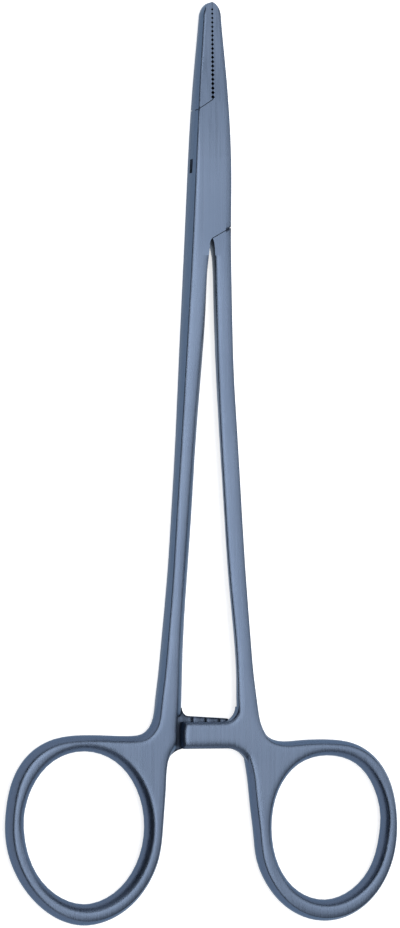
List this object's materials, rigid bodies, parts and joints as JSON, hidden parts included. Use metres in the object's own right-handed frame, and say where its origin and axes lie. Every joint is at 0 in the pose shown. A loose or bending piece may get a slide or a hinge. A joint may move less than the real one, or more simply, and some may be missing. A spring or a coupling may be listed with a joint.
{
  "type": "needle holder",
  "caption": "Straight box-lock needle holder in satin stainless steel, with slim cross-serrated jaws, a ratchet between the shanks and oval finger rings.",
  "frame": {"origin": "where the pivot axis meets the back cheek of the box, on the surface that the instrument lies on", "axes": "+Y along the instrument towards the tip, +X towards the right ring, +Z along the pivot axis out of the front cheek"},
  "size_m": [0.0706, 0.1599, 0.0053],
  "materials": {
    "satin_steel": "satin, bead-blasted and passivated surgical stainless steel",
    "pin_steel": "satin, pressed in and ground flush with both cheeks"
  },
  "bodies": {
    "root": {"box_half": "satin_steel", "pivot_pin": "pin_steel"},
    "tongue_half": {"tongue_half": "satin_steel"}
  },
  "joints": [
    {"name": "box_lock", "type": "hinge", "parent": "root", "child": "tongue_half", "pos_m": [0, 0, 0.00265], "axis": [0, 0, 1], "range_deg": [0, 40]}
  ]
}
